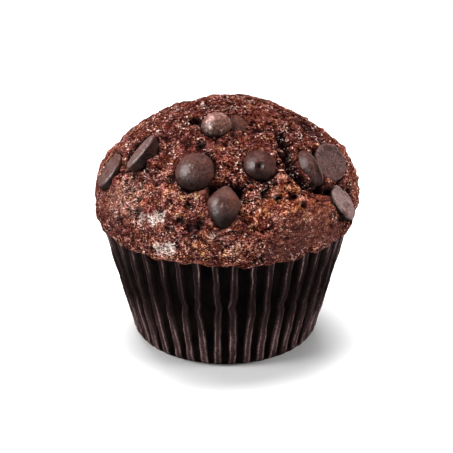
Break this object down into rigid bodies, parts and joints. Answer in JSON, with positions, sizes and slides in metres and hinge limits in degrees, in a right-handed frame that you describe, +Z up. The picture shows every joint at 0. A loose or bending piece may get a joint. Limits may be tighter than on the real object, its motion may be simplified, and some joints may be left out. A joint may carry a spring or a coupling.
{
  "type": "chocolate chip muffin",
  "caption": "Domed chocolate muffin studded with chocolate chips, baked in a pleated dark paper case with a flat bottom.",
  "frame": {"origin": "centre of the flat bottom of the paper case", "axes": "+Z up, out of the top of the dome; -Y is the front"},
  "size_m": [0.0804, 0.0828, 0.0751],
  "materials": {
    "crumb": "matte",
    "paper_case": "satin",
    "chocolate": "satin"
  },
  "bodies": {
    "root": {"crumb": "crumb", "paper_case": "paper_case", "chip_01": "chocolate", "chip_02": "chocolate", "chip_03": "chocolate", "chip_04": "chocolate", "chip_05": "chocolate", "chip_06": "chocolate", "chip_07": "chocolate", "chip_08": "chocolate", "chip_09": "chocolate", "chip_10": "chocolate", "chip_11": "chocolate", "chip_12": "chocolate", "chip_13": "chocolate", "chip_14": "chocolate", "chip_15": "chocolate", "chip_16": "chocolate", "chip_17": "chocolate"}
  },
  "joints": []
}
